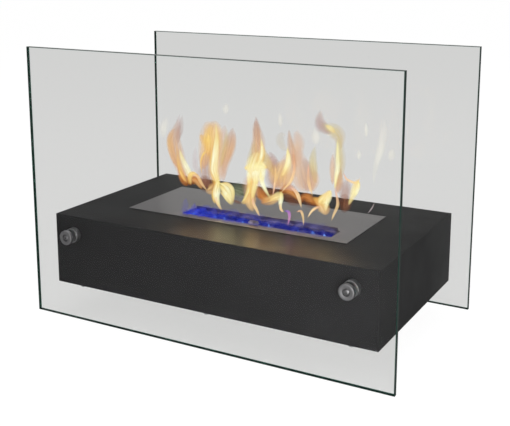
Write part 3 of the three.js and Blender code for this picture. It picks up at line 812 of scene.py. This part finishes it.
# each tongue: look, how far it stands behind the flames' plane, its width and where along it that
# is reached, and its middle line from root to tip as x and z; all in mm, as read
flameTongues = {
    "left flame": [
        ("tan", 2, 17, 0.45, [(-75, 169), (-87, 186), (-96, 209), (-99, 227), (-95, 239), (-90, 256)]),
        ("amber", 4, 8, 0.5, [(-88, 182), (-100, 200), (-104, 220), (-103, 232), (-97, 243)]),
        ("mauve", 5, 8, 0.5, [(-94, 222), (-91, 236), (-88, 243), (-84, 262)]),
        ("wisp", 5, 6, 0.4, [(-92, 238), (-91, 250), (-89, 262)]),
        ("orange", 3, 9, 0.4, [(-77, 168), (-84, 174), (-90, 183), (-94, 194)]),
        ("gold", 0, 5, 0.35, [(-80, 171), (-87, 179), (-92, 191), (-94, 205), (-95, 222)]),
        ("white", -1, 7, 0.4, [(-75, 169), (-76, 182), (-81, 193), (-86, 204), (-90, 217)]),
    ],
    "left arch": [
        ("orange", 3, 11, 0.45, [(-77, 168), (-70, 178), (-62, 176), (-56, 166)]),
        ("gold", 0, 6, 0.4, [(-76, 170), (-74, 182), (-68, 185), (-61, 180)]),
        ("thread", -2, 3, 0.5, [(-72, 183), (-64, 183), (-58, 173), (-50, 164)]),
        ("wisp", 5, 7, 0.4, [(-62, 182), (-67, 194), (-67, 209), (-65, 223)]),
    ],
    "big flame": [
        ("mauve", 8, 18, 0.4, [(-51, 166), (-50, 182), (-49, 198), (-46, 218)]),
        ("ember", 9, 15, 0.5, [(-50, 186), (-51, 175), (-51, 162)]),
        ("amber", 3, 24, 0.72, [(-54, 192), (-51, 207), (-46, 226), (-44, 240), (-48, 257)]),
        ("amber", 2, 20, 0.72, [(-40, 190), (-40, 210), (-38, 230), (-37, 244), (-34, 259)]),
        ("amber", 3, 9, 0.5, [(-46, 224), (-53, 230), (-59, 238)]),
        ("gold", 2, 13, 0.5, [(-47, 210), (-45, 226), (-43, 240), (-42, 252)]),
        ("peach", 5, 12, 0.55, [(-27, 180), (-28, 200), (-26, 225), (-25, 240), (-21, 254)]),
        ("olive", 4, 8, 0.5, [(-29, 196), (-25, 214), (-21, 232), (-19, 250)]),
        ("tan", 6, 13, 0.6, [(-26, 178), (-22, 203), (-16, 221), (-12, 236), (-9, 252)]),
        ("peach", 7, 7, 0.5, [(-20, 206), (-13, 222), (-8, 236), (-6, 247)]),
        ("gold", 0, 2.5, 0.5, [(-56, 186), (-57, 201), (-53, 213), (-45, 219), (-37, 221)]),
        ("gold", 0, 12, 0.35, [(-30, 168), (-37, 186), (-39, 202), (-35, 222), (-32, 248)]),
        ("white", -3, 8, 0.3, [(-30, 170), (-36, 184), (-39, 195), (-36, 217), (-33, 236), (-34, 257)]),
    ],
    "big flame's foot": [
        ("amber", 1, 10, 0.4, [(-34, 178), (-40, 170), (-45, 165), (-52, 163)]),
        ("gold", -2, 6, 0.5, [(-37, 172), (-38, 160), (-36, 149)]),
        ("white", -4, 8, 0.35, [(-31, 182), (-33, 168), (-34, 158), (-29, 143)]),
        ("thread", -6, 3, 0.5, [(-35, 160), (-33, 150), (-27, 141)]),
    ],
    "loops": [
        ("olive", 2, 15, 0.5, [(-29, 174), (-20, 169), (-12, 156)]),
        ("cream", 0, 11, 0.45, [(-30, 175), (-22, 169), (-16, 161), (-12, 151)]),
        ("cream", -1, 4.5, 0.45, [(-30, 176), (-19, 178), (-11, 173), (-9, 163), (-11, 149)]),
        ("white", -3, 4, 0.45, [(-30, 178), (-21, 175), (-15, 168), (-12, 157)]),
        ("white", -3, 5, 0.45, [(-29, 175), (-23, 167), (-18, 161), (-13, 152)]),
        ("cream", -4, 3, 0.5, [(-31, 166), (-25, 161), (-19, 155), (-12, 150)]),
    ],
    "black top seen through the fire": [
        ("sage", 12, 16, 0.5, [(-17, 172), (-6, 172), (4, 171), (13, 168)]),
        ("ember", 11, 4, 0.5, [(-14, 158), (-4, 156), (5, 155)]),
        ("ember", 10, 15, 0.5, [(20, 176), (34, 172), (48, 173), (62, 174)]),
        ("ember", 10, 15, 0.5, [(60, 172), (74, 171), (90, 168)]),
        ("ember", 10, 14, 0.5, [(143, 186), (143, 174), (143, 162)]),
    ],
    "middle spire": [
        ("tan", 3, 15, 0.4, [(22, 200), (26, 214), (27, 226), (27, 240), (25, 252), (23, 266)]),
        ("peach", 4, 9, 0.5, [(24, 222), (25, 240), (23, 254), (22, 264)]),
        ("mauve", 2, 7, 0.5, [(25, 236), (24, 250), (22, 269)]),
        ("olive", 1, 14, 0.4, [(14, 198), (18, 208), (20, 222), (22, 240)]),
        ("gold", -1, 7, 0.5, [(22, 206), (29, 214), (33, 224), (31, 240)]),
        ("white", -2, 4, 0.45, [(18, 204), (27, 210), (32, 221), (32, 232), (30, 242)]),
    ],
    "knot": [
        ("cream", -1, 21, 0.45, [(22, 190), (23, 202), (25, 214), (27, 227)]),
        ("cream", -2, 6, 0.5, [(6, 201), (12, 203), (20, 212)]),
        ("cream", -2, 6, 0.5, [(39, 206), (33, 207), (27, 216)]),
        ("white", -3, 8, 0.6, [(13, 180), (15, 196), (19, 209)]),
        ("white", -4, 10, 0.6, [(23, 182), (24, 197), (25, 212)]),
        ("white", -3, 8, 0.6, [(32, 184), (31, 199), (28, 213)]),
        ("white", -5, 5, 0.5, [(7, 201), (20, 203), (37, 206)]),
    ],
    "middle legs": [
        ("peach", 3, 21, 0.5, [(20, 202), (19, 186), (17, 172), (12, 156)]),
        ("gold", 1, 10, 0.45, [(14, 203), (17, 188), (16, 172), (9, 160), (2, 154)]),
        ("amber", 0, 12, 0.5, [(18, 180), (16, 166), (15, 156), (19, 146)]),
        ("orange", 2, 11, 0.5, [(25, 180), (31, 169), (39, 162)]),
        ("cream", -3, 4, 0.4, [(11, 203), (14, 190), (13, 176), (8, 163), (2, 155)]),
        ("cream", -4, 6, 0.4, [(23, 201), (23, 186), (20, 171), (19, 161)]),
        ("white", -4, 5, 0.4, [(31, 203), (31, 192), (34, 183), (38, 175), (44, 167)]),
        ("thread", -6, 3, 0.5, [(19, 166), (20, 157), (24, 149), (28, 141)]),
    ],
    "low web": [
        ("amber", 0, 10, 0.5, [(29, 159), (40, 163), (50, 168), (61, 174)]),
        ("cream", -4, 8, 0.6, [(41, 164), (50, 169), (56, 172), (62, 176)]),
        ("white", -5, 5, 0.4, [(58, 178), (59, 170), (58, 162), (60, 154)]),
        ("thread", -7, 2.5, 0.5, [(58, 163), (59, 156), (63, 152)]),
        ("thread", -3, 2.5, 0.5, [(47, 170), (49, 184), (50, 198), (49, 210)]),
    ],
    "lobe": [
        ("mauve", 6, 12, 0.5, [(48, 200), (46, 212), (41, 226)]),
        ("peach", 4, 12, 0.5, [(50, 194), (45, 204), (39, 216), (36, 226)]),
        ("olive", 2, 8, 0.45, [(49, 198), (43, 209), (38, 219), (34, 231)]),
    ],
    "right body": [
        ("mauve", 9, 20, 0.4, [(51, 178), (50, 192), (49, 206), (46, 222)]),
        ("mauve", 9, 18, 0.4, [(94, 181), (94, 196), (92, 210), (88, 224)]),
        ("peach", 7, 26, 0.4, [(88, 179), (88, 192), (86, 206), (82, 222), (80, 238)]),
        ("peach", 6, 20, 0.5, [(66, 182), (67, 200), (69, 214), (70, 230)]),
        ("amber", 4, 24, 0.45, [(57, 180), (58, 192), (60, 204), (65, 219)]),
        ("haze", 3, 9, 0.5, [(68, 230), (61, 234), (56, 241), (58, 248), (64, 248)]),
        ("peach", 6, 13, 0.6, [(82, 208), (80, 228), (81, 243), (79, 257)]),
        ("tan", 2, 8, 0.5, [(77, 203), (75, 222), (72, 238), (69, 257)]),
        ("cream", -1, 7, 0.45, [(58, 196), (66, 206), (69, 218), (67, 236)]),
        ("white", -2, 5, 0.5, [(62, 203), (67, 212), (68, 222), (66, 232)]),
        ("peach", 6, 10, 0.5, [(99, 182), (103, 196), (104, 210)]),
        ("olive", 4, 9, 0.5, [(104, 192), (102, 208), (101, 222), (105, 241)]),
    ],
    "right body's lines": [
        ("thread", -4, 3, 0.5, [(74, 234), (77, 213), (76, 202), (72, 192), (66, 185), (57, 175)]),
        ("thread", -4, 3.5, 0.5, [(71, 186), (80, 180), (84, 172), (87, 160)]),
        ("thread", -2, 3, 0.5, [(96, 218), (95, 200), (97, 187), (101, 177)]),
        ("thread", -6, 2.5, 0.5, [(79, 154), (85, 156), (88, 149), (89, 138)]),
        ("violet", -7, 3, 0.5, [(62, 153), (68, 153), (70, 147), (68, 135)]),
    ],
    "right pool": [
        ("orange", 5, 11, 0.45, [(56, 174), (66, 182), (76, 180), (86, 168)]),
        ("orange", 4, 9, 0.5, [(82, 166), (91, 175), (99, 173), (104, 167)]),
        ("ember", 3, 9, 0.5, [(84, 178), (96, 168), (110, 169)]),
        ("orange", 2, 9, 0.6, [(94, 168), (106, 170), (116, 175), (122, 184)]),
        ("gold", 0, 10, 0.65, [(101, 176), (110, 172), (117, 176), (124, 184)]),
        ("amber", 0, 12, 0.6, [(104, 172), (113, 169), (118, 163), (119, 156)]),
        ("cream", -2, 10, 0.5, [(125, 188), (120, 179), (114, 172), (112, 164)]),
        ("white", -3, 7, 0.45, [(125, 188), (122, 180), (119, 171), (118, 160)]),
        ("thread", -5, 3, 0.4, [(115, 167), (106, 163), (100, 158), (95, 149)]),
    ],
    "tall flame": [
        ("mauve", 3, 11, 0.5, [(126, 257), (116, 262), (110, 271), (111, 284)]),
        ("wisp", 3, 8, 0.5, [(110, 256), (108, 266), (110, 277)]),
        ("olive", 0, 14, 0.45, [(136, 238), (135, 252), (129, 259), (121, 263), (110, 267)]),
        ("olive", 1, 11, 0.5, [(132, 188), (134, 206), (136, 224), (136, 242), (134, 258)]),
        ("peach", 3, 6, 0.5, [(127, 194), (127, 214), (128, 234)]),
        ("tan", 2, 8, 0.4, [(133, 184), (136, 196), (137, 206), (136, 220)]),
        ("cream", -2, 5, 0.5, [(130, 258), (124, 263), (117, 266)]),
        ("white", -4, 4.5, 0.5, [(130, 189), (131, 204), (133, 216), (133, 232), (133, 251)]),
        ("thread", -6, 3, 0.5, [(129, 191), (133, 179), (134, 170), (130, 159), (127, 150)]),
    ],
    "curl": [
        ("mauve", 4, 14, 0.5, [(142, 178), (144, 191), (147, 204)]),
        ("cream", -2, 8, 0.35, [(160, 206), (158, 196), (154, 185), (148, 172)]),
        ("white", -4, 4, 0.4, [(161, 204), (159, 193), (155, 184)]),
        ("thread", -2, 2.5, 0.5, [(140, 212), (144, 204), (151, 201), (158, 201), (162, 208)]),
    ],
    "faint reflections": [
        # painted reflections: glowing strands where the flames show mirrored in the rear pane
        ("paneReflection", 8, 8, 0.75, [(179, 200), (180, 216), (184, 232), (188, 247), (190, 264), (190, 283)]),
        ("paneReflection", 8, 4, 0.5, [(169, 256), (169, 274)]),
        ("paneReflection", 8, 5, 0.5, [(161, 229), (161, 241)]),
        ("paneReflection", 8, 7, 0.5, [(199, 231), (201, 247)]),
        ("paneReflection", 8, 9, 0.5, [(104, 240), (104, 250), (102, 263)]),
        ("paneReflection", 8, 5, 0.5, [(57, 257), (57, 277)]),
        ("paneReflection", 8, 9, 0.5, [(-114, 227), (-114, 242), (-108, 257)]),
        ("paneReflection", 8, 7, 0.5, [(-20, 267), (-19, 282)]),
        ("wisp", 0, 1.5, 0.5, [(181, 180), (177, 172), (172, 165)]),
    ],
}
flameBuild = {
    "plane": -36,  # y of the plane that the tongues are laid out in
    "aroundSteps": 16,
    "alongSteps": 6,
    "spread": 1.5,  # the sides fade out, so a tongue is made wider than it looks
    "thinnest": 0.15,
    "sway": 1.6,  # how far a tongue leans to and fro, and over what length
    "swayLength": 17,
    "seedStep": 1.37,
    "foldsTo": 121.5,  # height that the flames die down to when the damper shuts
    "keep": 0.015,
}
# streaks: how much they thin the flame, and how many there are across and along a millimetre;
# a flame is brighter than a picture can show, so what it lights and mirrors is given on its own
openFlame = {"streaks": 0.55, "grain": (0.36, 0.03), "inMetal": 11.0, "asLight": 2.0, "rim": 0.35}
slotFlame = {"streaks": 0.92, "grain": (0.2, 0.16), "inMetal": 0.5, "asLight": 0.3, "rim": 0.0}
# how a flame thins out: towards its sides, where it turns away, and between its streaks
flameFade = {"sides": 1.3, "turned": 0.3, "streaks": (0.36, 0.6)}
# how its streaks light up, and the gamma of its bright and dark parts
flameTones = {"litFrom": (0.48, 0.72), "lit": 0.8, "bright": 0.6, "dark": 1.6, "acrossSeeds": 5.3}


def onSightLine(x, z, back):
    # a point of the flames' plane slid along the line of sight, which keeps its place in the picture
    eye = Vector(cameraSettings["place"]) / mm
    place = Vector((x, flameBuild["plane"], z))
    share = 1 + back / (place.y - eye.y)
    moved = eye + (place - eye) * share
    return moved.x, moved.z


def leafWidth(share, fullest):
    # nothing at both ends and 1 at the fullest place
    if share < fullest:
        return math.sin(math.pi / 2 * share / fullest) ** 0.7
    return max(0.0, math.cos(math.pi / 2 * (share - fullest) / (1 - fullest))) ** 0.8


def curveValue(a, b, c, d, t):
    # the value at t of the way from b to c, bent by their neighbours a and d
    return 0.5 * (2 * b + (c - a) * t + (2 * a - 5 * b + 4 * c - d) * t * t + (3 * b - a - 3 * c + d) * t**3)


def smoothLine(points, steps):
    # a curve through the points, with any widths carried along
    ends = [points[0]] + list(points) + [points[-1]]
    line = []
    for neighbours in zip(ends, ends[1:], ends[2:], ends[3:]):
        for step in range(steps):
            line.append(tuple(curveValue(*four, step / steps) for four in zip(*neighbours)))
    line.append(points[-1])
    return line


def blendLooks(values, share):
    # the value at a share of the way from root to tip, by way of the middle
    if share < 0.5:
        first, second, part = values[0], values[1], share * 2
    else:
        first, second, part = values[1], values[2], share * 2 - 1
    return [a + (b - a) * part for a, b in zip(first, second)]


def addStrand(work, layers, look, y, line, seed, fade=5):
    # a closed tube along a line of x, z and width; a higher fade keeps more of its ends
    tints, flow, edge = layers
    root, middle, tip, solid, thickness = flameLooks[look]
    colours = [srgb(*colour) for colour in (root, middle, tip)]
    around = flameBuild["aroundSteps"]
    length = 0
    rings = []
    for index, (x, z, width) in enumerate(line):
        before = line[max(index - 1, 0)]
        after = line[min(index + 1, len(line) - 1)]
        along = Vector((after[0] - before[0], after[1] - before[1]))
        along = along.normalized() if along.length > 0 else Vector((0, 1))
        length += math.hypot(x - before[0], z - before[1])
        share = index / (len(line) - 1)
        colour = blendLooks(colours, share)
        strength = blendLooks([(value,) for value in solid], share)[0]
        ends = math.sin(math.pi / 2 * min(1, fade * share, 0.8 * fade * (1 - share)))
        sway = flameBuild["sway"] * math.sin(length / flameBuild["swayLength"] + seed)
        ring = []
        reach = max(width, flameBuild["thinnest"]) / 2 * flameBuild["spread"]
        for step in range(around):
            angle = 2 * math.pi * step / around
            across = math.cos(angle) * reach
            deep = math.sin(angle) * reach * thickness
            place = Vector((x - along.y * across, y + sway + deep, z + along.x * across))
            vertex = work.verts.new(place * mm)
            vertex[tints] = (*colour[:3], strength * ends)
            vertex[flow] = Vector((across, length, seed))
            vertex[edge] = abs(math.cos(angle))
            ring.append(vertex)
        rings.append(ring)
    closeTube(work, rings)


def flameMaterial(name, look):
    material, tree = startMaterial(name)
    tint = painted(tree, "tint")
    edge = painted(tree, "edge")["Fac"]
    scale = (*look["grain"], flameTones["acrossSeeds"])
    stretched = addNode(tree, "Mapping", {"Vector": painted(tree, "flow")["Vector"], "Scale": scale})
    streak = grains(tree, stretched.outputs[0], 1.0, 3.0, 0.5)
    sides = sums(tree, "SUBTRACT", 1.0, sums(tree, "MULTIPLY", edge, edge))
    sides = sums(tree, "POWER", sums(tree, "MAXIMUM", sides, 0.0), flameFade["sides"])
    facing = addNode(tree, "LayerWeight", {"Blend": 0.5}).outputs["Facing"]
    turned = sums(tree, "POWER", sums(tree, "SUBTRACT", 1.0, facing), flameFade["turned"])
    soft = sums(tree, "MULTIPLY", sides, turned)
    thin = spread(tree, streak, *flameFade["streaks"], 1.0 - look["streaks"], 1.0)
    solid = sums(tree, "MULTIPLY", sums(tree, "MULTIPLY", tint["Alpha"], soft), thin)
    bright = addNode(tree, "Gamma", {"Color": tint["Color"], "Gamma": flameTones["bright"]}).outputs[0]
    dark = addNode(tree, "Gamma", {"Color": tint["Color"], "Gamma": flameTones["dark"]}).outputs[0]
    lit = spread(tree, streak, *flameTones["litFrom"], 0.0, flameTones["lit"])
    rim = sums(tree, "MULTIPLY", sums(tree, "POWER", edge, 2.0), look["rim"])
    colour = mix(tree, rim, mix(tree, lit, tint["Color"], bright), dark)
    rays = addNode(tree, "LightPath").outputs
    seen = sums(tree, "MAXIMUM", rays["Is Camera Ray"], rays["Is Transmission Ray"])
    metal = spread(tree, rays["Is Glossy Ray"], 0.0, 1.0, look["asLight"], look["inMetal"])
    strength = addNode(tree, "Mix", {0: seen, 2: metal, 3: 1.0}).outputs[0]
    glow = addNode(tree, "Emission", {"Color": colour, "Strength": strength})
    clear = addNode(tree, "BsdfTransparent")
    both = addNode(tree, "MixShader", {0: solid, 1: clear.outputs[0], 2: glow.outputs[0]})
    showSurface(tree, both)
    return material


def startFlame():
    work = bmesh.new()
    tints = work.verts.layers.float_color.new("tint")
    flow = work.verts.layers.float_vector.new("flow")
    edge = work.verts.layers.float.new("edge")
    return work, (tints, flow, edge)


def finishFlame(name, work, material):
    bmesh.ops.recalc_face_normals(work, faces=work.faces)
    piece = addPiece(name, work)
    finishPiece(piece, "burner", material)
    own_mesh(piece)


def buildFlames():
    material = flameMaterial("openFlame", openFlame)
    families = {"flame_tongues": [], "flame_veils": [], "painted_pane_reflections": []}
    tongues = [tongue for group in flameTongues.values() for tongue in group]
    for order, (look, back, width, fullest, route) in enumerate(tongues):
        middleLine = smoothLine([onSightLine(x, z, back) for x, z in route], flameBuild["alongSteps"])
        count = len(middleLine) - 1
        line = []
        for index, (x, z) in enumerate(middleLine):
            line.append((x, z, width * leafWidth(index / count, fullest)))
        family = "flame_veils" if look in faintLooks else "flame_tongues"
        # the painted reflections of the flames go into a mesh of their own
        family = "painted_pane_reflections" if look == "paneReflection" else family
        families[family].append((look, flameBuild["plane"] + back, line, order * flameBuild["seedStep"]))
    for family, strands in families.items():
        work, layers = startFlame()
        for look, y, line, seed in strands:
            addStrand(work, layers, look, y, line, seed)
        finishFlame(family, work, material)


blueCurtains = {
    # look, y, height of the middle, and tallness at the left end and at the right end
    "rows": [
        # these three rows are painted shade of the slot's inside, under the blue flames
        ("blueOverSlotShade", -29.0, 128.0, 9.0, 8.0),
        ("blueOverSlotShade", -37.0, 128.0, 11.0, 10.0),
        ("blueOverSlotShade", -42.0, 127.5, 9.0, 9.0),
        ("blue", -35.0, 131.5, 10.0, 6.0),
        ("blue", -43.0, 129.5, 9.0, 5.0),
        ("blueHaze", -26.0, 134.0, 12.0, 9.0),
        ("blueHaze", -50.0, 133.6, 5.0, 4.0),
    ],
    # taller blue peaks at the slot's left end, and a faint glow in front of the lug
    "peaks": [
        ("blueHaze", -40, [(-80, 130, 10), (-81, 139, 11), (-80, 152, 1)]),
        ("blueHaze", -38, [(-66, 131, 9), (-67, 138, 9), (-66, 148, 1)]),
        ("blueHaze", -37, [(-40, 131, 9), (-40, 138, 9), (-39, 146, 1)]),
        ("blue", -43, [(-77, 126, 6), (-77, 132, 9), (-76, 138, 2)]),
        ("lavender", -48, [(18, 135, 3), (26, 135.6, 5), (34, 135, 3)]),
    ],
    "points": 24,
    "uneven": 2.6,
    "inset": 0.6,
    "endHeight": 0.7,  # share of the height at the slot's very ends
    "fade": 60,
    "spotRise": 2.4,  # above the plate
    "spotBack": 4,  # behind the slot's front edge
    "draw": 11,
    # place along the slot, and width
    "spots": [(-66, 3.6), (-33, 3.4), (-20, 3.0), (8, 3.0), (44, 2.6), (86, 2.6), (104, 4.4), (121, 3.0)],
}


def buildBlueFlames():
    # low blue curtains that fill the slot where the fuel burns clean; the darkest rows are painted shade of
    # the slot's inside
    draw = random.Random(blueCurtains["draw"])
    material = flameMaterial("blueFlame", slotFlame)
    work, layers = startFlame()
    left, right = slotBox["left"] + blueCurtains["inset"], slotBox["right"] - blueCurtains["inset"]
    lowest = blueCurtains["endHeight"]
    count = blueCurtains["points"]
    steps = flameBuild["alongSteps"]
    for number, (look, y, middle, leftHeight, rightHeight) in enumerate(blueCurtains["rows"]):
        points = []
        for index in range(count):
            share = index / (count - 1)
            height = leftHeight + (rightHeight - leftHeight) * share
            height += draw.uniform(-1, 1) * blueCurtains["uneven"]
            height *= min(1, lowest + 8 * share, lowest + 8 * (1 - share))
            x = left + (right - left) * share
            points.append((x, middle + draw.uniform(-1, 1), height))
        addStrand(work, layers, look, y, smoothLine(points, steps), number * 2.1, blueCurtains["fade"])
    for number, (look, y, points) in enumerate(blueCurtains["peaks"]):
        addStrand(work, layers, look, y, smoothLine(points, steps), number * 9.4)
    for number, (x, width) in enumerate(blueCurtains["spots"]):
        top = slotBox["plateTop"] + blueCurtains["spotRise"]
        y = slotBox["front"] + blueCurtains["spotBack"]
        points = [(x, 129, width * 0.6), (x + 0.6, 131.5, width), (x - 0.3, top, 0.5)]
        addStrand(work, layers, "blueSpot", y, smoothLine(points, steps), number * 3.3)
    finishFlame("slot_blue_flames", work, material)


buildFlames()
buildBlueFlames()
print("flames lit")
